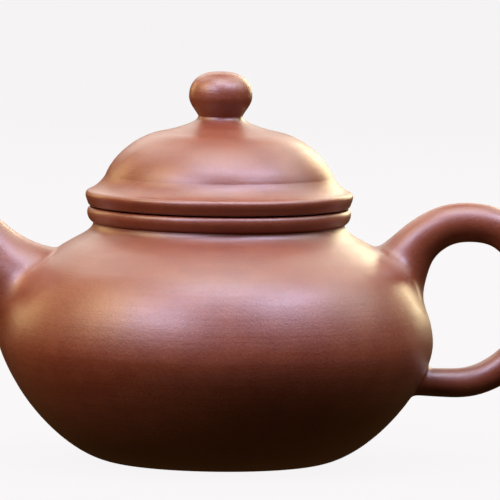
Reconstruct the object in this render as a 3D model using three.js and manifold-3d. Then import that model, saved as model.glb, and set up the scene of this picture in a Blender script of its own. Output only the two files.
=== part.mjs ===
// A round unglazed stoneware teapot with a domed lid, modelled as the potter's separate clay pieces.
// Units are millimetres, +Z is up, the spout points to -X and the handle to +X.
// The origin is the centre of the flat base, on the axis of the body, on the surface the pot stands on.
import * as THREE from "three";
import { mergeVertices } from "three/addons/utils/BufferGeometryUtils.js";
import Module from "manifold-3d";

const wasm = await Module();
wasm.setup();

// ---- driving dimensions ----
const WALL = 3; // thickness of the beaten body, shoulder and lid
const SLIP_GAP = 0.3; // layer of slip between two luted pieces, and the clearance under the lid
const BASE_RADIUS = 22; // flat face the pot stands on
const BASE_DISC_RADIUS = 24.5;
const BELLY_RADIUS = 47.4;
const BELLY_HEIGHT = 26.6;
const SHOULDER_JOINT = [39.6, 43.4]; // radius and height where the top disc is luted to the wall
const NECK_FOOT = [33.2, 47.9]; // where the neck coil is luted to the top disc
const NECK_RADIUS = 27.6;
const NECK_HEIGHT = 52.4;
const MOUTH_RADIUS = 24.3; // bore that the lid's flange drops into
const MOUTH_HEIGHT = 55.9; // flat seat that the lid rests on
const RING_RADIUS = 28.8;
const LID_RIM_RADIUS = 29.4;
const LID_STEP = [25.6, 60.4]; // foot of the dome on top of the lid's rim
const LID_CROWN = [13.5, 72.4]; // where the dome turns from convex to the hollow under the knob
const KNOB_NECK = [4.9, 76];
const KNOB_RADIUS = 6.95;
const KNOB_WAIST_HEIGHT = 80.4;
const TOP_HEIGHT = 85.7;
const AIR_HOLE_RADIUS = 1;
const FLANGE_CLEARANCE = 0.4; // between the flange and the mouth, all round
const FLANGE_WALL = 2.5;
const FLANGE_DEPTH = 8.5; // how far the flange reaches below the seat
const SPOUT_WALL = 1.2; // at the lip; the channel narrows away from the outside towards the root

// ---- mesh fineness ----
const ROUND_SIDES = 40; // sides of a turned piece
const BAR_SIDES = 16; // sides of the spout and the handle

const CLAY = { color: 0x8a4a35, roughness: 0.5, metalness: 0 };

// ---- helpers ----
const at = (x, y) => new THREE.Vector2(x, y);
const space = (x, z) => new THREE.Vector3(x, 0, z);
const bend = (from, lead, arrive, to) => new THREE.CubicBezierCurve(from, lead, arrive, to);

// Points of a 2D curve, with any ends trimmed off by a length and all pushed sideways by a distance.
// The left side of a profile that runs up the outside of the pot is its inside.
function profile(curve, steps, { trimStart = 0, trimEnd = 0, inwards = 0 } = {}) {
  const length = curve.getLength();
  const first = trimStart / length;
  const last = 1 - trimEnd / length;
  return Array.from({ length: steps + 1 }, (_, i) => {
    const u = first + ((last - first) * i) / steps;
    const along = curve.getTangentAt(u);
    return curve.getPointAt(u).add(at(-along.y, along.x).multiplyScalar(inwards));
  });
}

// A profile in (radius, height), turned about the Z axis. It starts and ends on the axis or closes on itself.
function turned(points) {
  const onAxis = points[0].x === 0 && points[points.length - 1].x === 0;
  const outline = onAxis ? points : [...points, points[0].clone()];
  return new THREE.LatheGeometry(outline, ROUND_SIDES).rotateX(Math.PI / 2);
}

// A wall of even thickness that follows a profile curve on its outer side.
function turnedWall(curve, steps, trims, thickness = WALL) {
  const outside = profile(curve, steps, trims);
  const inside = profile(curve, steps, { ...trims, inwards: thickness });
  return turned([...outside, ...inside.reverse()]);
}

// A round bar bent along a curve in the XZ plane: a capped cylinder whose rings move onto the curve
// and take the radius that radiusAt gives for each share of its length.
function barAlong(curve, radiusAt, rings) {
  const bar = new THREE.CylinderGeometry(1, 1, 1, BAR_SIDES, rings);
  const position = bar.getAttribute("position");
  const corner = new THREE.Vector3();
  for (let i = 0; i < position.count; i++) {
    corner.fromBufferAttribute(position, i);
    const u = corner.y + 0.5;
    const centre = curve.getPointAt(u);
    const along = curve.getTangentAt(u);
    const radius = radiusAt(u);
    const outwards = corner.x * radius;
    const sideways = corner.z * radius;
    position.setXYZ(i, centre.x - along.z * outwards, sideways, centre.z + along.x * outwards);
  }
  return bar;
}

// A closed geometry as a solid that can be joined or cut.
function solid(geometry) {
  const bare = geometry.clone();
  bare.deleteAttribute("normal");
  bare.deleteAttribute("uv");
  const merged = mergeVertices(bare, 1e-4);
  const vertProperties = new Float32Array(merged.getAttribute("position").array);
  const triVerts = new Uint32Array(merged.getIndex().array);
  return new wasm.Manifold(new wasm.Mesh({ numProp: 3, vertProperties, triVerts }));
}

// A solid as a geometry that a mesh can hold.
function geometryOf(made) {
  const mesh = made.getMesh();
  return new THREE.BufferGeometry()
    .setAttribute("position", new THREE.BufferAttribute(mesh.vertProperties, 3))
    .setIndex(new THREE.BufferAttribute(mesh.triVerts, 1));
}

// ---- profile of the body, from the edge of the base up to the mouth ----
const lowerBody = bend(
  at(BASE_RADIUS, 0),
  at(BASE_RADIUS + 10.9, 0),
  at(BELLY_RADIUS, BELLY_HEIGHT - 9.5),
  at(BELLY_RADIUS, BELLY_HEIGHT),
);
const upperBody = bend(
  at(BELLY_RADIUS, BELLY_HEIGHT),
  at(BELLY_RADIUS, BELLY_HEIGHT + 6),
  at(SHOULDER_JOINT[0] + 3.6, SHOULDER_JOINT[1] - 3),
  at(...SHOULDER_JOINT),
);
const shoulder = bend(
  at(...SHOULDER_JOINT),
  at(SHOULDER_JOINT[0] - 1.9, SHOULDER_JOINT[1] + 1.6),
  at(NECK_FOOT[0] + 2, NECK_FOOT[1] - 1.2),
  at(...NECK_FOOT),
);
const neck = bend(
  at(...NECK_FOOT),
  at(NECK_FOOT[0] - 2.8, NECK_FOOT[1] + 1.65),
  at(NECK_RADIUS + 0.1, NECK_HEIGHT - 1.8),
  at(NECK_RADIUS, NECK_HEIGHT),
);

// The pot's closed outer form up to the neck, grown or shrunk by a distance. Neighbours are cut with it.
function bodyForm(grow) {
  const outline = [lowerBody, upperBody, shoulder, neck].flatMap((curve) =>
    profile(curve, 9, { inwards: -grow }),
  );
  const floor = outline[0].y;
  const ceiling = outline[outline.length - 1].y;
  const steps = outline.filter((point, i) => i === 0 || point.distanceTo(outline[i - 1]) > 0.05);
  return solid(turned([at(0, floor), ...steps, at(0, ceiling)]));
}

// ---- spout: a cone bent upwards, open at the lip, with its channel cut through the wall ----
const spoutLine = new THREE.CubicBezierCurve3(
  space(-30, 33),
  space(-45, 35.5),
  space(-53.2, 45),
  space(-58.5, 61.7),
);
const LIP_HEIGHT = 58.4;
const SPOUT_ROOT_RADIUS = 15;
const SPOUT_LIP_RADIUS = 4.9;
const CHANNEL_TAPER = 4.3;
// The cone narrows quickly near the body and slowly near the lip.
const spoutRadius = (u) => SPOUT_LIP_RADIUS + (SPOUT_ROOT_RADIUS - SPOUT_LIP_RADIUS) * (1 - u) ** 1.5;
const channelRadius = (u) => spoutRadius(u) - SPOUT_WALL - CHANNEL_TAPER * (1 - u);

// Everything above the spout's level lip, out beyond the body.
function aboveLip() {
  const side = 60;
  return solid(new THREE.BoxGeometry(side, side, side).translate(-side, 0, LIP_HEIGHT + side / 2));
}

const channel = solid(barAlong(spoutLine, channelRadius, 18));

function spoutGeometry() {
  const cone = solid(barAlong(spoutLine, spoutRadius, 18));
  return geometryOf(cone.subtract(bodyForm(SLIP_GAP)).subtract(channel).subtract(aboveLip()));
}

function bodyWallGeometry() {
  const wall = new THREE.CurvePath();
  wall.add(lowerBody);
  wall.add(upperBody);
  const discEdge = BASE_DISC_RADIUS - BASE_RADIUS + SLIP_GAP;
  const shell = turnedWall(wall, 15, { trimStart: discEdge, trimEnd: SLIP_GAP / 2 });
  return geometryOf(solid(shell).subtract(channel));
}

// ---- strainer: a pierced clay dome luted over the channel's mouth inside the body ----
const STRAINER_RADIUS = 10.2;
const STRAINER_WALL = 1.6;
const STRAINER_HOLE_RADIUS = 0.9;
const strainerCentre = space(-41, 33.5);
const strainerAxis = space(1, 0.08).normalize();
const upright = new THREE.Vector3(0, 1, 0); // the axis that three.js builds a cylinder or a sphere about

// Unit directions of the holes: one on the dome's axis and rings of 6 and 12 around it.
function strainerDirections() {
  const rings = [
    { count: 1, angle: 0 },
    { count: 6, angle: 24 },
    { count: 12, angle: 47 },
  ];
  const turn = new THREE.Quaternion().setFromUnitVectors(upright, strainerAxis);
  return rings.flatMap(({ count, angle }) =>
    Array.from({ length: count }, (_, i) => {
      const around = (2 * Math.PI * (i + 0.5)) / count;
      const polar = THREE.MathUtils.degToRad(angle);
      return new THREE.Vector3().setFromSphericalCoords(1, polar, around).applyQuaternion(turn);
    }),
  );
}

function strainerGeometry() {
  const ball = (radius) =>
    solid(new THREE.SphereGeometry(radius, 20, 12).translate(strainerCentre.x, 0, strainerCentre.z));
  let dome = ball(STRAINER_RADIUS).subtract(ball(STRAINER_RADIUS - STRAINER_WALL));
  for (const direction of strainerDirections()) {
    const length = 4 * STRAINER_WALL;
    const drill = new THREE.CylinderGeometry(STRAINER_HOLE_RADIUS, STRAINER_HOLE_RADIUS, length, 6);
    const turn = new THREE.Quaternion().setFromUnitVectors(upright, direction);
    const place = direction.clone().multiplyScalar(STRAINER_RADIUS - STRAINER_WALL / 2).add(strainerCentre);
    drill.applyQuaternion(turn).translate(place.x, place.y, place.z);
    dome = dome.subtract(solid(drill));
  }
  return geometryOf(dome.intersect(bodyForm(-WALL - SLIP_GAP)));
}

// ---- handle: a tapering bar bent into an ear ----
const handleLine = new THREE.CatmullRomCurve3(
  [
    space(35, 36.6),
    space(40.7, 44.6),
    space(43.7, 48.2),
    space(49.2, 52),
    space(53, 52.9),
    space(61.8, 51.8),
    space(67.6, 45.8),
    space(70.6, 36.6),
    space(68, 27),
    space(61.8, 20.5),
    space(55.5, 17.7),
    space(49.5, 17.6),
    space(41.5, 17.8),
  ],
  false,
  "centripetal",
);
const HANDLE_TOP_RADIUS = 4.85;
const HANDLE_TAIL_RADIUS = 3;
const HANDLE_ROOT_FLARE = 4.9;
const HANDLE_FLARE_LENGTH = 0.097; // share of the handle's length over which the root's flare dies away
// The bar thins evenly from the top root to the tail and swells where it grows out of the shoulder.
const handleRadius = (u) =>
  THREE.MathUtils.lerp(HANDLE_TOP_RADIUS, HANDLE_TAIL_RADIUS, u) +
  HANDLE_ROOT_FLARE * Math.exp(-((u / HANDLE_FLARE_LENGTH) ** 2));

function handleGeometry() {
  return geometryOf(solid(barAlong(handleLine, handleRadius, 28)).subtract(bodyForm(SLIP_GAP)));
}

// ---- base, shoulder, neck and mouth ring ----
function baseDiscGeometry() {
  const edge = (inwards) => profile(lowerBody, 1, { trimStart: BASE_DISC_RADIUS - BASE_RADIUS, inwards })[0];
  return turned([at(0, 0), at(BASE_RADIUS, 0), edge(0), edge(WALL), at(0, edge(WALL).y)]);
}

function shoulderGeometry() {
  return turnedWall(shoulder, 5, { trimStart: SLIP_GAP / 2, trimEnd: SLIP_GAP / 2 });
}

// The neck coil is turned true inside, as a straight bore for the flange.
function neckGeometry() {
  const outside = profile(neck, 7, { trimStart: SLIP_GAP / 2 });
  const foot = profile(neck, 1, { trimStart: SLIP_GAP / 2, inwards: WALL })[0];
  return turned([...outside, at(MOUTH_RADIUS, NECK_HEIGHT), at(MOUTH_RADIUS, foot.y + 2.4), foot]);
}

function mouthRingGeometry() {
  const bottom = NECK_HEIGHT + SLIP_GAP;
  const bead = bend(
    at(NECK_RADIUS + 0.2, bottom),
    at(RING_RADIUS + 0.3, bottom + 0.5),
    at(RING_RADIUS + 0.4, MOUTH_HEIGHT - 0.4),
    at(RING_RADIUS - 0.9, MOUTH_HEIGHT),
  );
  return turned([...profile(bead, 7), at(MOUTH_RADIUS, MOUTH_HEIGHT), at(MOUTH_RADIUS, bottom)]);
}

// ---- lid ----
const LID_BOTTOM = MOUTH_HEIGHT + SLIP_GAP;
const FLANGE_RADIUS = MOUTH_RADIUS - FLANGE_CLEARANCE;
const FLANGE_INNER_RADIUS = FLANGE_RADIUS - FLANGE_WALL;

function lidRimGeometry() {
  const edge = bend(
    at(LID_RIM_RADIUS - 1, LID_BOTTOM),
    at(LID_RIM_RADIUS + 0.35, LID_BOTTOM + 0.5),
    at(LID_RIM_RADIUS + 0.35, LID_STEP[1] - 1.3),
    at(LID_RIM_RADIUS - 1.3, LID_STEP[1] - 0.8),
  );
  return turned([
    ...profile(edge, 7),
    at(...LID_STEP),
    at(FLANGE_RADIUS + SLIP_GAP, LID_STEP[1]),
    at(FLANGE_RADIUS + SLIP_GAP, LID_BOTTOM),
  ]);
}

function lidFlangeGeometry() {
  const bottom = MOUTH_HEIGHT - FLANGE_DEPTH;
  return turned([
    at(FLANGE_RADIUS - 0.7, bottom),
    at(FLANGE_RADIUS, bottom + 0.7),
    at(FLANGE_RADIUS, LID_STEP[1]),
    at(FLANGE_INNER_RADIUS, LID_STEP[1]),
    at(FLANGE_INNER_RADIUS, bottom),
  ]);
}

function lidDomeGeometry() {
  const foot = LID_STEP[1] + SLIP_GAP;
  const side = bend(
    at(LID_STEP[0], foot),
    at(LID_STEP[0] - 3, foot + 7),
    at(LID_CROWN[0] + 5.3, LID_CROWN[1] - 1.3),
    at(...LID_CROWN),
  );
  const hollow = bend(
    at(...LID_CROWN),
    at(LID_CROWN[0] - 3.9, LID_CROWN[1] + 0.95),
    at(KNOB_NECK[0], KNOB_NECK[1] - 2.1),
    at(...KNOB_NECK),
  );
  const footSlope = 1.3; // trims the inner side so that the dome's foot is level
  const inside = profile(side, 8, { trimStart: footSlope, inwards: WALL });
  return turned([
    ...profile(side, 8),
    ...profile(hollow, 6).slice(1),
    at(AIR_HOLE_RADIUS, KNOB_NECK[1]),
    at(AIR_HOLE_RADIUS, LID_CROWN[1] - WALL + 0.4),
    ...inside.reverse(),
  ]);
}

function knobGeometry() {
  const bottom = KNOB_NECK[1] + SLIP_GAP;
  const below = bend(
    at(KNOB_NECK[0], bottom),
    at(KNOB_NECK[0] + 1.1, bottom + 0.9),
    at(KNOB_RADIUS, KNOB_WAIST_HEIGHT - 2),
    at(KNOB_RADIUS, KNOB_WAIST_HEIGHT),
  );
  const above = bend(
    at(KNOB_RADIUS, KNOB_WAIST_HEIGHT),
    at(KNOB_RADIUS, KNOB_WAIST_HEIGHT + 3),
    at(AIR_HOLE_RADIUS + 2.8, TOP_HEIGHT),
    at(AIR_HOLE_RADIUS, TOP_HEIGHT),
  );
  return turned([...profile(below, 5), ...profile(above, 7).slice(1), at(AIR_HOLE_RADIUS, bottom)]);
}

// ---- assembly: the pot, and the lid that lifts off it ----
function piece(name, geometry) {
  const mesh = new THREE.Mesh(geometry, new THREE.MeshStandardMaterial(CLAY));
  mesh.name = name;
  return mesh;
}

const pot = new THREE.Group();
pot.add(
  piece("base_disc", baseDiscGeometry()),
  piece("body_wall", bodyWallGeometry()),
  piece("shoulder_disc", shoulderGeometry()),
  piece("neck_coil", neckGeometry()),
  piece("mouth_ring", mouthRingGeometry()),
  piece("spout", spoutGeometry()),
  piece("strainer", strainerGeometry()),
  piece("handle", handleGeometry()),
);

const lid = new THREE.Group();
lid.add(
  piece("lid_rim", lidRimGeometry()),
  piece("lid_flange", lidFlangeGeometry()),
  piece("lid_dome", lidDomeGeometry()),
  piece("knob", knobGeometry()),
);

const teapot = new THREE.Group();
teapot.add(pot, lid);

export default teapot;
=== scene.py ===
import math

import bmesh
import bpy
import numpy as np
from mathutils import Matrix, Vector
from mathutils.geometry import interpolate_bezier


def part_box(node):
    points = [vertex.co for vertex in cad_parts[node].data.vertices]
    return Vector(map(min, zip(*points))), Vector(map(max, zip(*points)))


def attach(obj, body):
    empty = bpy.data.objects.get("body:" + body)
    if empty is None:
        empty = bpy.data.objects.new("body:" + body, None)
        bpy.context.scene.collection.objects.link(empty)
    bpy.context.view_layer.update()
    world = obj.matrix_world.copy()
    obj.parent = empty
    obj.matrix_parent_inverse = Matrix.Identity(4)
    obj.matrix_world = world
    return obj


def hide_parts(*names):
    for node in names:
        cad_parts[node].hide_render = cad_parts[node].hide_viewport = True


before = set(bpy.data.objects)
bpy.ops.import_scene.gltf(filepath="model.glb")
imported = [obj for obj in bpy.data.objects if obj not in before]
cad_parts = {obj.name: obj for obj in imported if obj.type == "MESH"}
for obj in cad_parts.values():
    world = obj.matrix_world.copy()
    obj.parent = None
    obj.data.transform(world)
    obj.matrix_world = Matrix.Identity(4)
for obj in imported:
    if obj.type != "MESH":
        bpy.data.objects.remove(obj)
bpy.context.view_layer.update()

mm = 0.001


# ---------------------------------------------------------------- the view
# A long lens from well back, a little above the level of the lid, with the whole lid and body in the frame
# and the tips of the spout and the handle running out of it on either side.

camera = bpy.data.objects.new("camera", bpy.data.cameras.new("camera"))
bpy.context.scene.collection.objects.link(camera)
bpy.context.scene.camera = camera

looks_at = Vector((6.9, 0, 46.6)) * mm
camera_distance = 1.9
camera_height_angle = math.radians(4.9)
camera_roll = math.radians(0.8)
frame_width = 109.8 * mm

towards_camera = Vector((0, -math.cos(camera_height_angle), math.sin(camera_height_angle)))
camera.location = looks_at + towards_camera * camera_distance
level_camera = (-towards_camera).to_track_quat("-Z", "Y")
camera.rotation_euler = (level_camera.to_matrix() @ Matrix.Rotation(camera_roll, 3, "Z")).to_euler()
camera.data.lens = camera.data.sensor_width * camera_distance / frame_width
camera.data.clip_start = 0.05
camera.data.clip_end = 20


# ---------------------------------------------------------------- the studio
# A pale paper table and a pale room. Lilac-white softboxes stand in front, warmer ones to the left, a cream
# one low behind on the right. The floor throws no light up, so the pot's underside stays dark.

def linear(hex_colour):
    """An sRGB colour such as "8a4a35" as the linear colour that lights and materials take."""
    parts = [int(hex_colour[i : i + 2], 16) / 255 for i in (0, 2, 4)]
    return (*(p / 12.92 if p <= 0.04045 else ((p + 0.055) / 1.055) ** 2.4 for p in parts), 1)


def node(tree, kind, inputs={}, **settings):
    """Adds a shader node. Its inputs take a value, or the socket of another node to link."""
    made = tree.nodes.new("ShaderNode" + kind)
    for name, value in settings.items():
        setattr(made, name, value)
    for name, value in inputs.items():
        if isinstance(value, bpy.types.NodeSocket):
            tree.links.new(value, made.inputs[name])
        else:
            made.inputs[name].default_value = value
    return made


bpy.context.scene.view_settings.view_transform = "Standard"

room = bpy.data.worlds.new("room")
bpy.context.scene.world = room
room.use_nodes = True
room.node_tree.nodes.clear()
seen_room = node(room.node_tree, "Background", {"Color": linear("f7f5f6"), "Strength": 1})
lit_room = node(room.node_tree, "Background", {"Color": linear("ffc070"), "Strength": 0.05})
sight = node(room.node_tree, "LightPath")
both_rooms = node(
    room.node_tree,
    "MixShader",
    {0: sight.outputs["Is Camera Ray"], 1: lit_room.outputs[0], 2: seen_room.outputs[0]},
)
node(room.node_tree, "OutputWorld", {"Surface": both_rooms.outputs[0]})

floor_mesh = bmesh.new()
bmesh.ops.create_grid(floor_mesh, x_segments=1, y_segments=1, size=6)
floor = bpy.data.objects.new("floor", bpy.data.meshes.new("floor"))
floor_mesh.to_mesh(floor.data)
floor_mesh.free()
floor.data.transform(Matrix.Translation((0, 0, -0.00005)))
bpy.context.scene.collection.objects.link(floor)
floor.visible_diffuse = False
floor.visible_glossy = False

paper = bpy.data.materials.new("pale_paper")
paper.use_nodes = True
paper.node_tree.nodes.clear()
paper_shade = node(paper.node_tree, "BsdfDiffuse", {"Color": linear("222222")})
paper_glow = node(paper.node_tree, "Emission", {"Color": linear("f7f5f6"), "Strength": 0.978})
paper_sheet = node(paper.node_tree, "AddShader", {0: paper_shade.outputs[0], 1: paper_glow.outputs[0]})
node(paper.node_tree, "OutputMaterial", {"Surface": paper_sheet.outputs[0]})
paper.cycles.emission_sampling = "NONE"
floor.data.materials.append(paper)


pot_middle = Vector((0, 0, 0.04))
softbox_distance = 0.9


def softbox(name, sideways, up, size, power, colour):
    """A softbox facing the pot, sideways degrees round from the camera and up degrees above the table."""
    turn, lift = math.radians(sideways), math.radians(up)
    towards = Vector((math.sin(turn) * math.cos(lift), -math.cos(turn) * math.cos(lift), math.sin(lift)))
    light = bpy.data.lights.new(name, "AREA")
    light.shape = "RECTANGLE"
    light.size, light.size_y = size
    light.energy = power
    light.color = linear(colour)[:3]
    lamp = bpy.data.objects.new(name, light)
    lamp.location = pot_middle + towards * softbox_distance
    lamp.rotation_euler = (-towards).to_track_quat("-Z", "Y").to_euler()
    lamp.visible_camera = False
    bpy.context.scene.collection.objects.link(lamp)


white, lilac, warm, cream = "f8fbf0", "e0dcff", "ffdca0", "ffeec0"
softbox("left_window", -38, 40, (0.5, 0.25), 5.5, lilac)
softbox("side_window", -72, 40, (0.45, 0.5), 4.5, warm)
softbox("right_window", 55, 52, (0.5, 0.25), 5.5, lilac)
softbox("front_overhead", 0, 67, (0.5, 0.25), 4, lilac)
softbox("overhead", 0, 86, (0.7, 0.6), 5.5, white)
softbox("right_side", 100, 42, (0.4, 0.5), 2.2, white)
softbox("right_edge", 153, 16, (0.36, 0.4), 3.5, cream)
softbox("left_edge", -130, 18, (0.3, 0.4), 1.5, warm)
softbox("back", 180, 28, (0.8, 0.4), 2.5, white)
for name, sideways in (("back_right", 138), ("back_left", -138)):
    softbox(name, sideways, 50, (0.4, 0.4), 1.5, white)


# ---------------------------------------------------------------- fired purple clay
# The whole pot is one unglazed red-brown stoneware, beaten and burnished while leather hard and fired once.
# Fine sand in the clay leaves a skin of tiny bumps and pits, and the burnishing tool leaves faint streaks.

def fired_clay(name, streaks):
    """The pot's clay. streaks is the size in mm, along X, Y and Z, of the burnishing tool's marks."""
    clay = bpy.data.materials.new(name)
    clay.use_nodes = True
    tree = clay.node_tree
    tree.nodes.clear()
    place = node(tree, "TexCoord").outputs["Object"]

    def noise(size, detail=3, roughness=0.55):
        """Blotches that are about size millimetres across."""
        scale = 1 / (size * mm)
        settings = {"Vector": place, "Scale": scale, "Detail": detail, "Roughness": roughness}
        return node(tree, "TexNoise", settings).outputs["Fac"]

    def between(value, low, high, to_low, to_high):
        """A value's range from low to high, carried over to another range."""
        ends = {"From Min": low, "From Max": high, "To Min": to_low, "To Max": to_high}
        return node(tree, "MapRange", {"Value": value, **ends}).outputs["Result"]

    def mixed(share, first, second):
        """Two colours mixed by a share."""
        return node(tree, "Mix", {0: share, 6: first, 7: second}, data_type="RGBA").outputs[2]

    streak_scale = [1 / (s * mm) for s in streaks]
    along_tool = node(tree, "Mapping", {"Vector": place, "Scale": streak_scale}).outputs["Vector"]
    tool_marks = {"Vector": along_tool, "Scale": 1, "Detail": 3, "Roughness": 0.6}
    burnish = node(tree, "TexNoise", tool_marks).outputs["Fac"]
    grain = noise(0.55, detail=4, roughness=0.6)
    sand = node(tree, "TexVoronoi", {"Vector": place, "Scale": 1 / (0.7 * mm)}).outputs["Distance"]
    fire = noise(30, detail=2)
    mottle = noise(5, detail=3)

    colour = mixed(between(fire, 0.35, 0.65, 0, 1), linear("7e3a1d"), linear("753118"))
    colour = mixed(between(mottle, 0.4, 0.7, 0, 0.5), colour, linear("8a4625"))
    colour = mixed(between(grain, 0.3, 0.7, 0.35, 0), colour, linear("4a1c0d"))
    colour = mixed(between(sand, 0.04, 0.12, 0.35, 0), colour, linear("a8714a"))

    rough = between(grain, 0.25, 0.75, 0.38, 0.5)
    polish = between(burnish, 0.3, 0.7, -0.03, 0.05)
    rough_burnish = node(tree, "Math", {0: rough, 1: polish}, operation="ADD").outputs[0]

    def raised(height, strength, depth, **over):
        """A surface raised by a pattern, over another raised surface if one is given."""
        pattern = {"Height": height, "Strength": strength, "Distance": depth * mm, **over}
        return node(tree, "Bump", pattern).outputs["Normal"]

    wrinkles = raised(grain, 0.35, 0.12)
    pits = raised(between(sand, 0, 0.35, 0, 1), 0.25, 0.06, Normal=wrinkles)
    tooled = raised(burnish, 0.4, 0.08, Normal=pits)

    finish = {
        "Base Color": colour,
        "Roughness": rough_burnish,
        "Normal": tooled,
        "IOR": 1.5,
        "Specular IOR Level": 1,
        "Coat Weight": 0.25,
        "Coat Roughness": 0.3,
    }
    skin = node(tree, "BsdfPrincipled", finish)
    node(tree, "OutputMaterial", {"Surface": skin.outputs[0]})
    return clay


# The same unglazed purple clay twice: burnished in level rounds on the turned pieces, and in short strokes
# along every way on the pieces rolled by hand.
turned_clay = fired_clay("zisha_clay_burnished_level", (30, 30, 1.2))
rolled_clay = fired_clay("zisha_clay_burnished_by_hand", (6, 4, 6))


# ---------------------------------------------------------------- body wall
# A slab of clay beaten into a round wall from the edge of the base, round the belly, to the shoulder. The
# spout's hole is cut through it before the spout is luted on.

sides = 192
wall_thickness = 3 * mm
belly_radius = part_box("body_wall")[1].x
belly_height = 26.6 * mm
base_radius = 22 * mm
shoulder_joint = Vector((39.6, 43.4)) * mm


def bow(start, lead, arrive, end, steps):
    """Points (radius, height) along a bow that leaves start towards lead and reaches end from arrive."""
    knots = [Vector((*p, 0)) for p in (start, lead, arrive, end)]
    return [Vector(p.xy) for p in interpolate_bezier(*knots, steps + 1)]


def offset(outline, distance):
    """An outline moved sideways, to the left of the way it runs."""
    moved = []
    for i, point in enumerate(outline):
        along = outline[min(i + 1, len(outline) - 1)] - outline[max(i - 1, 0)]
        along.normalize()
        moved.append(point + Vector((-along.y, along.x)) * distance)
    return moved


def smooth_mesh(name, shape):
    """A closed mesh with smooth faces and crisp corners."""
    bmesh.ops.remove_doubles(shape, verts=shape.verts, dist=0.002 * mm)
    bmesh.ops.recalc_face_normals(shape, faces=shape.faces)
    for face in shape.faces:
        face.smooth = True
    for edge in shape.edges:
        edge.smooth = edge.calc_face_angle(0) < math.radians(40)
    mesh = bpy.data.meshes.new(name)
    shape.to_mesh(mesh)
    shape.free()
    return mesh


def finished(name, shape, material, body, *nodes):
    """A piece of the pot, in its clay and riding on its body."""
    mesh = smooth_mesh(name, shape)
    mesh.materials.append(material)
    piece = bpy.data.objects.new(name, mesh)
    bpy.context.scene.collection.objects.link(piece)
    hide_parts(*nodes)
    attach(piece, body)
    return piece


def spun(outline, closed=True):
    """An outline of (radius, height) points spun about the pot's axis."""
    shape = bmesh.new()
    corners = [shape.verts.new((p.x, 0, p.y)) for p in outline]
    for a, b in zip(corners, corners[1:]):
        shape.edges.new((a, b))
    if closed:
        shape.edges.new((corners[-1], corners[0]))
    bmesh.ops.spin(
        shape,
        geom=shape.verts[:] + shape.edges[:],
        axis=(0, 0, 1),
        cent=(0, 0, 0),
        angle=math.tau,
        steps=sides,
        use_merge=True,
    )
    return shape


lower_wall = bow(
    (base_radius, 0),
    (base_radius + 10.9 * mm, 0),
    (belly_radius, belly_height - 9.5 * mm),
    (belly_radius, belly_height),
    48,
)
upper_wall = bow(
    (belly_radius, belly_height),
    (belly_radius, belly_height + 6 * mm),
    (shoulder_joint.x + 3.6 * mm, shoulder_joint.y - 3 * mm),
    shoulder_joint,
    36,
)
base_joint = 5  # the point of the lower wall at which the base disc meets it
wall_outside = lower_wall[base_joint:] + upper_wall[1:]
body_wall = finished(
    "body_wall_skin",
    spun(wall_outside + offset(wall_outside, wall_thickness)[::-1]),
    turned_clay,
    "pot",
    "body_wall",
)


# ---------------------------------------------------------------- base disc
# The flat round slab that closes the pot underneath, luted inside the foot of the wall.

base_edge = lower_wall[: base_joint + 1]
base_top = offset(lower_wall, wall_thickness)[base_joint]
base_disc = finished(
    "base_disc_skin",
    spun([Vector((0, 0)), *base_edge, base_top, Vector((0, base_top.y))], closed=False),
    turned_clay,
    "pot",
    "base_disc",
)


# ---------------------------------------------------------------- shoulder disc
# The upper slab that closes the belly. The potter cuts the mouth out of it once it is stiff.

neck_foot = Vector((33.2, 47.9)) * mm
shoulder_outside = bow(
    shoulder_joint,
    shoulder_joint + Vector((-1.9, 1.6)) * mm,
    neck_foot + Vector((2, -1.2)) * mm,
    neck_foot,
    16,
)
shoulder_disc = finished(
    "shoulder_disc_skin",
    spun(shoulder_outside + offset(shoulder_outside, wall_thickness)[::-1]),
    turned_clay,
    "pot",
    "shoulder_disc",
)


# ---------------------------------------------------------------- neck coil
# A coil of clay luted on the shoulder and drawn up into the short neck, turned true inside for the lid.

neck_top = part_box("neck_coil")[1].z
neck_radius = 27.6 * mm
mouth_radius = 24.3 * mm
neck_outside = bow(
    neck_foot,
    neck_foot + Vector((-2.8, 1.65)) * mm,
    (neck_radius + 0.1 * mm, neck_top - 1.8 * mm),
    (neck_radius, neck_top),
    20,
)
neck_inner_foot = offset(shoulder_outside, wall_thickness)[-1]
bore_foot = neck_inner_foot.y + 2.4 * mm
neck_bore = [Vector((mouth_radius, neck_top)), Vector((mouth_radius, bore_foot)), neck_inner_foot]
neck_coil = finished(
    "neck_coil_skin",
    spun([*neck_outside, *neck_bore]),
    turned_clay,
    "pot",
    "neck_coil",
)


# ---------------------------------------------------------------- mouth ring
# The rounded line of clay round the mouth that the lid sits on, rolled as a thin coil, luted to the neck
# and turned to match the lid's edge.

ring_bottom, ring_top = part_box("mouth_ring")[0].z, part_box("mouth_ring")[1].z
ring_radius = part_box("mouth_ring")[1].x
ring_bead = bow(
    (neck_radius - 0.2 * mm, neck_top),
    (ring_radius + 0.3 * mm, neck_top + 0.4 * mm),
    (ring_radius + 0.7 * mm, ring_top - 0.1 * mm),
    (ring_radius - 0.7 * mm, ring_top),
    24,
)
mouth_ring = finished(
    "mouth_ring_skin",
    spun([*ring_bead, Vector((mouth_radius, ring_top)), Vector((mouth_radius, neck_top))]),
    turned_clay,
    "pot",
    "mouth_ring",
)


# ---------------------------------------------------------------- spout
# A tapering tube rolled from a cone of clay, bent upwards and cut level at the lip. Its root is luted over
# the hole in the wall, and its edge is smeared out and burnished until no joint shows.

lip_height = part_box("spout")[1].z
spout_root_radius = 15.3 * mm
spout_lip_radius = 4.9 * mm
spout_wall_at_lip = 1.2 * mm
channel_taper = 4.5 * mm
around = 96

pot_outline = np.array([*lower_wall, *upper_wall[1:], *shoulder_outside[1:], *neck_outside[1:]])


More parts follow.
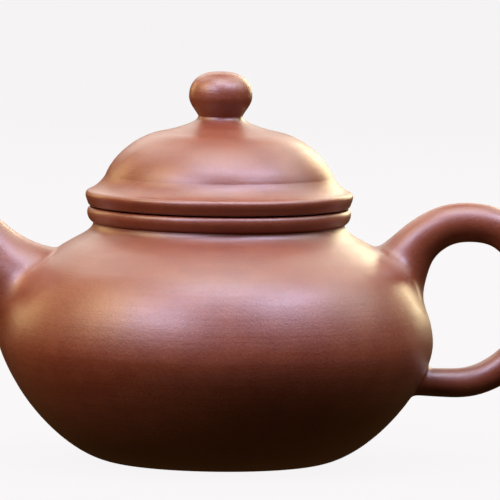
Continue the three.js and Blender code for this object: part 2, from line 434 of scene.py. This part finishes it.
def nearest(path, points):
    """For each point the nearest place on a path: the step it is on, its share of that step, the place."""
    starts, steps = path[:-1], np.diff(path, axis=0)
    share = np.einsum("pij,ij->pi", points[:, None] - starts, steps) / (steps**2).sum(1)
    share = share.clip(0, 1)
    places = starts + share[..., None] * steps
    step = ((points[:, None] - places) ** 2).sum(2).argmin(1)
    row = np.arange(len(points))
    return step, share[row, step], places[row, step]


def directions(path):
    """The unit direction of a path at each of its points."""
    along = np.gradient(path, axis=0)
    return along / np.linalg.norm(along, axis=1, keepdims=True)


def between_points(values, step, share):
    """Values given at a path's points, read a share of the way along a step."""
    mix = share if values.ndim == 1 else share[:, None]
    return values[step] * (1 - mix) + values[step + 1] * mix


def from_pot(points):
    """How far each point stands out from the pot's turned outside, and the direction straight out of it."""
    reach = np.hypot(points[:, 0], points[:, 1])
    flat = np.stack([reach, points[:, 2]], axis=1)
    step, share, place = nearest(pot_outline, flat)
    along = between_points(directions(pot_outline), step, share)
    out = np.stack([along[:, 1], -along[:, 0]], axis=1)
    out /= np.linalg.norm(out, axis=1, keepdims=True)
    sideways = out[:, :1] * points[:, :2] / reach[:, None]
    return ((flat - place) * out).sum(1), np.concatenate([sideways, out[:, 1:]], axis=1)


def from_bar(points, line, radii):
    """How far each point stands out from a round bar along a line, and the direction straight out of it."""
    step, share, place = nearest(line, points)
    away = points - place
    length = np.linalg.norm(away, axis=1)
    return length - between_points(radii, step, share), away / length[:, None]


smear_strokes = 8
smear_reach = 1.5  # how far the thinned edge runs out over the pot, in fillets
smear_edge_sunk = 0.03 * mm
edge_tucked = 0.5 * mm


def smeared(points, line, radii, fillet, sunk):
    """Points moved onto bar and pot with clay smeared over a fillet between them, then sunk a little."""
    for _ in range(smear_strokes):
        bar, bar_out = from_bar(points, line, radii)
        pot, pot_out = from_pot(points)
        size = fillet(points)
        near = (1 - abs(bar - pot) / size).clip(0, None)
        bar_share = np.where(bar < pot, 1 - near**2 / 2, near**2 / 2)[:, None]
        slope = bar_out * bar_share + pot_out * (1 - bar_share)
        height = np.minimum(bar, pot) - near**3 * size / 6 + sunk
        points = points - slope * (height / (slope**2).sum(1))[:, None]
    return points


def even_line(line, steps):
    """Points at even steps along a line."""
    length = np.concatenate([[0], np.cumsum(np.linalg.norm(np.diff(line, axis=0), axis=1))])
    even = np.linspace(0, length[-1], steps + 1)
    return np.stack([np.interp(even, length, line[:, axis]) for axis in range(3)], axis=1)


def straight_tube(rings, closed_ends):
    """A straight tube of rings, and for each vertex its angle and the number of its ring."""
    shape = bmesh.new()
    bmesh.ops.create_cone(shape, cap_ends=closed_ends, segments=around, radius1=1, radius2=1, depth=1)
    upright = [e for e in shape.edges if abs(e.verts[0].co.z - e.verts[1].co.z) > 0.5]
    bmesh.ops.subdivide_edges(shape, edges=upright, cuts=rings - 2, use_grid_fill=True)
    places = np.array([v.co for v in shape.verts])
    angle = np.arctan2(places[:, 1], places[:, 0])
    return shape, angle, np.rint((places[:, 2] + 0.5) * (rings - 1)).astype(int)


def on_bar(line, radii, share, angle):
    """Points on a bar's skin at a share of its length and an angle round it, and the way out there."""
    at = np.clip(share, 0, 1) * (len(line) - 1)
    step = np.minimum(at.astype(int), len(line) - 2)
    along = between_points(directions(line), step, at - step)
    radius = between_points(radii, step, at - step)
    upwards = np.stack([-along[:, 2], np.zeros(len(along)), along[:, 0]], axis=1)
    sideways = np.array([0, 1, 0])
    out = upwards * np.cos(angle)[:, None] + sideways * np.sin(angle)[:, None]
    return between_points(line, step, at - step) + out * radius[:, None], out


def leaving_pot(line, radii, angle, shares):
    """For each angle, the last of the shares of the bar's length at which its skin comes out of the pot."""
    angles = np.linspace(-math.pi, math.pi, around + 1)
    grid_angle, grid_share = (a.ravel() for a in np.meshgrid(angles, shares, indexing="ij"))
    height = from_pot(on_bar(line, radii, grid_share, grid_angle)[0])[0].reshape(len(angles), len(shares))
    last = len(shares) - 1 - np.argmax(height[:, ::-1] <= 0, axis=1)
    after = np.minimum(last + 1, len(shares) - 1)
    row = np.arange(len(angles))
    low, high = height[row, last], height[row, after]
    found = shares[last] + (shares[after] - shares[last]) * (-low / (high - low)).clip(0, 1)
    return np.interp(angle, angles, found)


def on_pot_around(line, radii, share, angle, width):
    """Points on the pot's outside, a width away from where the bar's skin leaves it."""
    foot, bar_out = on_bar(line, radii, share, angle)
    _, out = from_pot(foot)
    away = bar_out - out * (bar_out * out).sum(1, keepdims=True)
    away /= np.linalg.norm(away, axis=1, keepdims=True)
    places = foot + away * width[:, None]
    height, out = from_pot(places)
    return places - out * height[:, None]


spout_knots = [(-30.1, 32.5), (-42.9, 35.3), (-55.1, 45.8), (-58.6, 61.7)]
spout_bow = interpolate_bezier(*[Vector((x, 0, z)) * mm for x, z in spout_knots], 200)
spout_line = even_line(np.array(spout_bow), 160)
spout_share = np.linspace(0, 1, len(spout_line))
spout_radii = spout_lip_radius + (spout_root_radius - spout_lip_radius) * (1 - spout_share) ** 1.6
channel_radii = spout_radii - spout_wall_at_lip - channel_taper * (1 - spout_share)
lip_share = np.interp(lip_height, spout_line[:, 2], spout_share)


def spout_fillet(points):
    """How far the clay is smeared: less in the saddle between spout and neck than at the sides and below."""
    above = ((points[:, 2] - 34 * mm) / (10 * mm)).clip(0, 1)
    aside = ((abs(points[:, 1]) - 4 * mm) / (8 * mm)).clip(0, 1)
    return (9 - above * (8 - 5 * aside**2)) * mm


def levelled(points, share):
    """Towards the lip the spout's rings lean over until they lie level."""
    lean = ((share / lip_share - 0.6) / 0.4).clip(0, 1) ** 2
    step = (np.clip(share, 0, 1) * (len(spout_line) - 1)).astype(int)
    along = directions(spout_line)[step]
    return points - along * (lean * (points[:, 2] - spout_line[step, 2]) / along[:, 2])[:, None]


def cut(piece, knife, operation="DIFFERENCE"):
    """Cuts a piece with another shape while the clay is stiff."""
    tool = bpy.data.objects.new("knife", smooth_mesh("knife", knife))
    bpy.context.scene.collection.objects.link(tool)
    stroke = piece.modifiers.new("stroke", "BOOLEAN")
    stroke.operation = operation
    stroke.solver = "EXACT"
    stroke.object = tool
    cut_mesh = bpy.data.meshes.new_from_object(piece.evaluated_get(bpy.context.evaluated_depsgraph_get()))
    piece.modifiers.remove(stroke)
    bpy.data.objects.remove(tool)
    shape = bmesh.new()
    shape.from_mesh(cut_mesh)
    clay = piece.data.materials[0]
    piece.data = smooth_mesh(piece.name, shape)
    piece.data.materials.append(clay)


# the hole through the wall
hole_rings = 16
hole, angle, ring = straight_tube(hole_rings, closed_ends=True)
hole_share = 0.05 + 0.5 * ring / (hole_rings - 1)
for vertex, place in zip(hole.verts, on_bar(spout_line, channel_radii + 0.4 * mm, hole_share, angle)[0]):
    vertex.co = place
cut(body_wall, hole)

channel_rings, lip_rings, skin_rings, smear_rings = 26, 10, 44, 20
last_smear_ring = channel_rings + lip_rings + skin_rings + smear_rings
shape, angle, ring = straight_tube(last_smear_ring + 2, closed_ends=False)
every = np.ones(len(angle))
channel_mouth = leaving_pot(spout_line, channel_radii, angle, np.linspace(0.05, 0.95, 240)) - 0.01
skin_mouth = leaving_pot(spout_line, spout_radii, angle, np.linspace(0.05, 0.95, 240))

# up the channel
share = channel_mouth + (lip_share - channel_mouth) * ring / channel_rings
places = levelled(on_bar(spout_line, channel_radii, share, angle)[0], share)

# over the rounded lip
turn = (ring - channel_rings + 0.5) / lip_rings * math.pi
lip_inside = levelled(on_bar(spout_line, channel_radii, every * lip_share, angle)[0], every * lip_share)
lip_outside = levelled(on_bar(spout_line, spout_radii, every * lip_share, angle)[0], every * lip_share)
half_lip = (lip_outside - lip_inside) / 2
lip = (lip_inside + lip_outside) / 2 - half_lip * np.cos(turn)[:, None]
lip[:, 2] += (np.sin(turn) - 1) * np.linalg.norm(half_lip, axis=1)
part = ring >= channel_rings
places[part] = lip[part]

# down the outside
part = ring >= channel_rings + lip_rings
down = (ring - channel_rings - lip_rings + 0.5) / skin_rings
share = lip_share + (skin_mouth - lip_share) * down
places[part] = levelled(on_bar(spout_line, spout_radii, share, angle)[0], share)[part]

# out over the pot's wall
part = ring >= channel_rings + lip_rings + skin_rings
out = ((ring - channel_rings - lip_rings - skin_rings) / (smear_rings - 1)).clip(0, 1)
foot = on_bar(spout_line, spout_radii, skin_mouth, angle)[0]
smear_width = smear_reach * spout_fillet(foot)
places[part] = on_pot_around(spout_line, spout_radii, skin_mouth, angle, smear_width * out)[part]

near = (down > 0.1) & (ring < last_smear_ring)
pull = ((down[near] - 0.1) / 0.4).clip(0, 1)
pull = (pull**2 * (3 - 2 * pull))[:, None]
drawn_out = smeared(places[near], spout_line, spout_radii, spout_fillet, smear_edge_sunk * out[near] ** 2)
places[near] += (drawn_out - places[near]) * pull

# under the smeared edge and back to the channel's mouth
part = ring == last_smear_ring
places[part] -= from_pot(places[part])[1] * edge_tucked
part = ring == last_smear_ring + 1
places[part] = on_bar(spout_line, channel_radii, channel_mouth, angle)[0][part]

for vertex, place in zip(shape.verts, places):
    vertex.co = place
spout = finished("spout_skin", shape, rolled_clay, "pot", "spout")


# ---------------------------------------------------------------- strainer
# A small dome of clay pierced while wet and luted inside the wall over the spout's hole, so that it keeps the
# leaves back.

strainer_centre = Vector((-41, 0, 33.5)) * mm
strainer_radius = 10.2 * mm
strainer_wall = 1.6 * mm
strainer_axis = Vector((1, 0, 0.08))
hole_radius = 0.9 * mm
hole_circles = [(1, 0), (6, 24), (12, 47)]


def ball(radius):
    """A ball about the strainer's centre."""
    shape = bmesh.new()
    at_centre = Matrix.Translation(strainer_centre)
    bmesh.ops.create_uvsphere(shape, u_segments=72, v_segments=48, radius=radius, matrix=at_centre)
    return shape


strainer = finished("strainer_skin", ball(strainer_radius), rolled_clay, "pot", "strainer")
cut(strainer, ball(strainer_radius - strainer_wall))
inside = offset(lower_wall + upper_wall[1:] + shoulder_outside[1:], wall_thickness - 0.2 * mm)
room_inside = [Vector((0, inside[0].y)), *inside, Vector((0, inside[-1].y))]
cut(strainer, spun(room_inside, closed=False), "INTERSECT")
drills = bmesh.new()
for count, spread in hole_circles:
    for i in range(count):
        turn, lean = math.tau * (i + 0.5) / count, math.radians(spread)
        way = Vector((math.sin(lean) * math.sin(turn), math.cos(lean), math.sin(lean) * math.cos(turn)))
        way.rotate(Vector((0, 1, 0)).rotation_difference(strainer_axis))
        place = strainer_centre + way * strainer_radius
        turned_to = Matrix.Translation(place) @ way.to_track_quat("Z", "Y").to_matrix().to_4x4()
        bmesh.ops.create_cone(
            drills,
            cap_ends=True,
            segments=24,
            radius1=hole_radius,
            radius2=hole_radius,
            depth=4 * strainer_wall,
            matrix=turned_to,
        )
cut(strainer, drills)


# ---------------------------------------------------------------- handle
# A solid rolled bar of clay that thins towards its tail, bent into an ear and luted to the shoulder and the
# wall. Both roots are smeared into the body.

handle_knots = [
    (35, 36.6),
    (40.9, 44.8),
    (43.5, 48.5),
    (48.9, 52.4),
    (53, 53.4),
    (61.8, 52.2),
    (67.6, 46),
    (70.6, 36.6),
    (68, 27),
    (61.8, 20.9),
    (55.5, 18.1),
    (49.5, 17.95),
    (41.5, 18.2),
]


def through(knots, steps):
    """A smooth line at even steps through knots of (x, z)."""
    knots = np.array([(x, 0, z) for x, z in knots]) * mm
    spans = np.concatenate([[0], np.cumsum(np.linalg.norm(np.diff(knots, axis=0), axis=1) ** 0.5)])
    pulls = np.gradient(knots, spans, axis=0)
    line = []
    for i, span in enumerate(np.diff(spans)):
        t = np.linspace(0, 1, 60, endpoint=False)[:, None]
        line.append(
            (2 * t**3 - 3 * t**2 + 1) * knots[i]
            + (t**3 - 2 * t**2 + t) * span * pulls[i]
            + (3 * t**2 - 2 * t**3) * knots[i + 1]
            + (t**3 - t**2) * span * pulls[i + 1]
        )
    line = even_line(np.concatenate([*line, knots[-1:]]), steps)
    for _ in range(40):
        line[1:-1] = (line[:-2] + line[2:]) / 2
    return line


handle_line = through(handle_knots, 260)
handle_share = np.linspace(0, 1, len(handle_line))
handle_top_radius, handle_tail_radius = 4.85 * mm, 3 * mm
handle_root_flare = 4.9 * mm
flare_length = 0.097  # as a share of the handle's length
handle_radii = handle_top_radius + (handle_tail_radius - handle_top_radius) * handle_share
handle_radii += handle_root_flare * np.exp(-((handle_share / flare_length) ** 2))


def handle_fillet(points):
    """How far the clay is smeared: furthest at the sides of the upper root, least round the tail."""
    above = ((points[:, 2] - 25 * mm) / (12 * mm)).clip(0, 1)
    aside = (abs(points[:, 1]) / (7 * mm)).clip(0, 1)
    return (1.8 + above * (0.6 + 4.5 * aside**2)) * mm


bar_rings, smear_rings = 150, 16
rings = bar_rings + 2 * (smear_rings + 1)
shape, angle, ring = straight_tube(rings, closed_ends=True)
top_exit = leaving_pot(handle_line, handle_radii, angle, np.linspace(0, 0.3, 240))
tail_exit = leaving_pot(handle_line, handle_radii, angle, np.linspace(1, 0.75, 240))
share = top_exit + (tail_exit - top_exit) * (ring - smear_rings - 1) / (bar_rings - 1)
places = on_bar(handle_line, handle_radii, share, angle)[0]
sunk = np.zeros(len(angle))
for root, number in ((top_exit, ring), (tail_exit, rings - 1 - ring)):
    part = number <= smear_rings
    out = (1 - (number - 1) / smear_rings).clip(0, 1)
    width = smear_reach * handle_fillet(on_bar(handle_line, handle_radii, root, angle)[0])
    places[part] = on_pot_around(handle_line, handle_radii, root, angle, width * out)[part]
    sunk[part] = smear_edge_sunk * out[part] ** 2
tucked = (ring == 0) | (ring == rings - 1)
near = (from_pot(places)[0] < 10 * mm) & ~tucked
places[near] = smeared(places[near], handle_line, handle_radii, handle_fillet, sunk[near])
places[tucked] -= from_pot(places[tucked])[1] * edge_tucked
for vertex, place in zip(shape.verts, places):
    vertex.co = place
handle = finished("handle_skin", shape, rolled_clay, "pot", "handle")


# ---------------------------------------------------------------- lid rim
# The matching line of clay round the edge of the lid, crisp above and turned under below. It is luted on
# and smeared up into the foot of the dome.

lid_bottom, lid_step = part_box("lid_rim")[0].z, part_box("lid_rim")[1].z
lid_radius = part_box("lid_rim")[1].x
flange_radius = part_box("lid_flange")[1].x
dome_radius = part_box("lid_dome")[1].x
crown = Vector((13.5, 72.4)) * mm
dome_side = bow(
    (dome_radius, lid_step),
    (dome_radius - 0.4 * mm, lid_step + 5.6 * mm),
    crown + Vector((5.3, -1.1)) * mm,
    crown,
    40,
)
fillet_end = dome_side[7]
up_the_dome = (dome_side[8] - dome_side[6]).normalized()
rim_foot = bow(
    (lid_radius - 1.3 * mm, lid_bottom),
    (lid_radius - 0.7 * mm, lid_bottom),
    (lid_radius - 0.55 * mm, lid_bottom + 0.3 * mm),
    (lid_radius - 0.4 * mm, lid_bottom + 0.9 * mm),
    10,
)
rim_edge = bow(
    rim_foot[-1],
    (lid_radius + 0.15 * mm, lid_step - 2.1 * mm),
    (lid_radius + 0.25 * mm, lid_step - 1.1 * mm),
    (lid_radius - 0.9 * mm, lid_step - 0.75 * mm),
    20,
)
rim_fillet = bow(
    rim_edge[-1],
    (dome_radius + 1.4 * mm, lid_step - 0.1 * mm),
    fillet_end - up_the_dome * 1.7 * mm,
    fillet_end - Vector((0.04 * mm, 0)),
    16,
)
rim_outside = [*rim_foot, *rim_edge[1:], *rim_fillet[1:]]
rim_bore = flange_radius + 0.05 * mm
lid_rim = finished(
    "lid_rim_skin",
    spun([*rim_outside, Vector((rim_bore, lid_step)), Vector((rim_bore, lid_bottom))]),
    turned_clay,
    "lid",
    "lid_rim",
)


# ---------------------------------------------------------------- lid dome
# The domed lid, beaten over a mould, with the air hole pierced through its crown.

knob_neck = Vector((4.85, 76)) * mm
air_hole_radius = 1 * mm
dome_hollow = bow(
    crown,
    crown + Vector((-3.5, 0.72)) * mm,
    knob_neck + Vector((0, -1.45)) * mm,
    knob_neck,
    16,
)
dome_inside = offset(dome_side, wall_thickness)[2:]
dome_inside[0].y = lid_step
air_hole = [Vector((air_hole_radius, height)) for height in (knob_neck.y, dome_inside[-1].y)]
lid_dome = finished(
    "lid_dome_skin",
    spun([*dome_side, *dome_hollow[1:], *air_hole, *dome_inside[::-1]]),
    turned_clay,
    "lid",
    "lid_dome",
)


# ---------------------------------------------------------------- knob
# A flattened bead of clay rolled and luted on the crown, and pierced by the air hole that lets the tea pour.
# It is burnished with the lid.

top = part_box("knob")[1].z
knob_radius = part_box("knob")[1].x
knob_waist = 80.4 * mm
knob_below = bow(
    knob_neck,
    knob_neck + Vector((0.6, 1.3)) * mm,
    (knob_radius, knob_waist - 1.8 * mm),
    (knob_radius, knob_waist),
    16,
)
knob_above = bow(
    (knob_radius, knob_waist),
    (knob_radius, knob_waist + 3.8 * mm),
    (3.9 * mm, top),
    (air_hole_radius + 0.3 * mm, top),
    24,
)
knob_hole = [Vector((air_hole_radius, height)) for height in (top - 0.3 * mm, knob_neck.y)]
knob = finished(
    "knob_skin",
    spun([*knob_below, *knob_above[1:], *knob_hole]),
    turned_clay,
    "lid",
    "knob",
)


# ---------------------------------------------------------------- lid flange
# The straight clay collar under the lid, turned true and luted in place. It drops into the mouth and keeps
# the lid from sliding off.

flange_bottom, flange_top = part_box("lid_flange")[0].z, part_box("lid_flange")[1].z
flange_inner = flange_radius - 2.5 * mm
lid_flange = finished(
    "lid_flange_skin",
    spun(
        [
            Vector((flange_radius - 0.7 * mm, flange_bottom)),
            Vector((flange_radius, flange_bottom + 0.7 * mm)),
            Vector((flange_radius, flange_top)),
            Vector((flange_inner, flange_top)),
            Vector((flange_inner, flange_bottom)),
        ]
    ),
    turned_clay,
    "lid_collar",
    "lid_flange",
)
